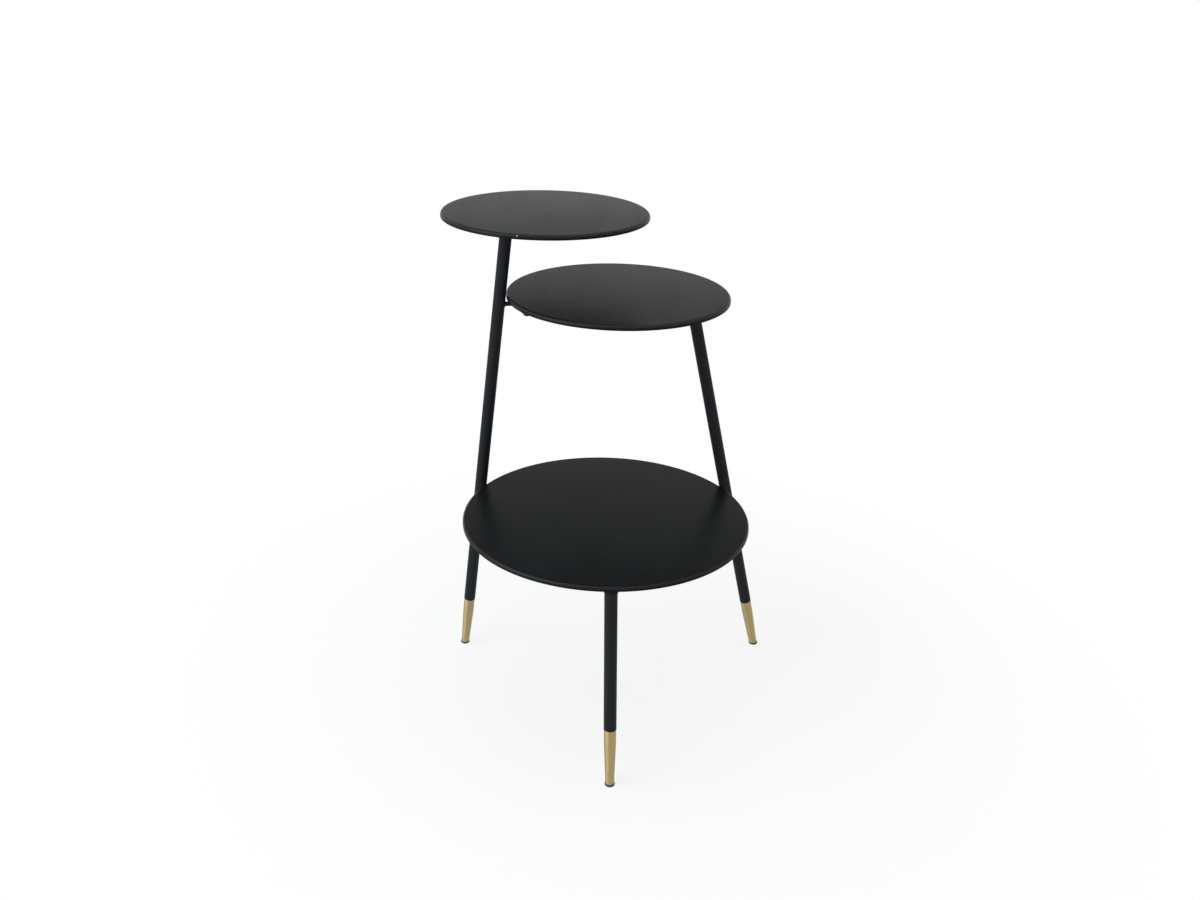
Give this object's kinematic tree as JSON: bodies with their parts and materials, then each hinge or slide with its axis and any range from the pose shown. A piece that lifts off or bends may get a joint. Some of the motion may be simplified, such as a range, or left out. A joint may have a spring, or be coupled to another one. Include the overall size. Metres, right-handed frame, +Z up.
{
  "type": "tiered side table",
  "caption": "Side table with round pressed-steel shelves at stepped heights, offset in plan, on splayed tube legs that pass outside the lower shelves and end in turned brass ferrules.",
  "frame": {"origin": "on the floor, under the middle of the table's outline in plan", "axes": "+Z up; -Y towards the short leg, which is the front; +X to the right, towards the medium leg's foot"},
  "size_m": [0.4893, 0.522, 0.684],
  "materials": {
    "black_powder_coat": "fine-textured satin black powder coat",
    "brass": "satin brushed, fine turning marks",
    "glide_plastic": "matte black",
    "fasteners": "black oxide"
  },
  "bodies": {
    "root": {"top_shelf": "black_powder_coat", "middle_shelf": "black_powder_coat", "bottom_shelf": "black_powder_coat", "long_leg_tube": "black_powder_coat", "medium_leg_tube": "black_powder_coat", "short_leg_tube": "black_powder_coat", "long_leg_ferrule": "brass", "long_leg_glide": "glide_plastic", "medium_leg_ferrule": "brass", "medium_leg_glide": "glide_plastic", "short_leg_ferrule": "brass", "short_leg_glide": "glide_plastic", "long_leg_end_plate": "black_powder_coat", "top_shelf_bosses": "black_powder_coat", "top_shelf_washers": "fasteners", "top_shelf_screws": "fasteners", "medium_leg_end_plate": "black_powder_coat", "long_leg_middle_bracket": "black_powder_coat", "middle_shelf_bosses": "black_powder_coat", "middle_shelf_washers": "fasteners", "middle_shelf_screws": "fasteners", "short_leg_end_plate": "black_powder_coat", "long_leg_bottom_bracket": "black_powder_coat", "medium_leg_bottom_bracket": "black_powder_coat", "bottom_shelf_bosses": "black_powder_coat", "bottom_shelf_washers": "fasteners", "bottom_shelf_screws": "fasteners"}
  },
  "joints": []
}
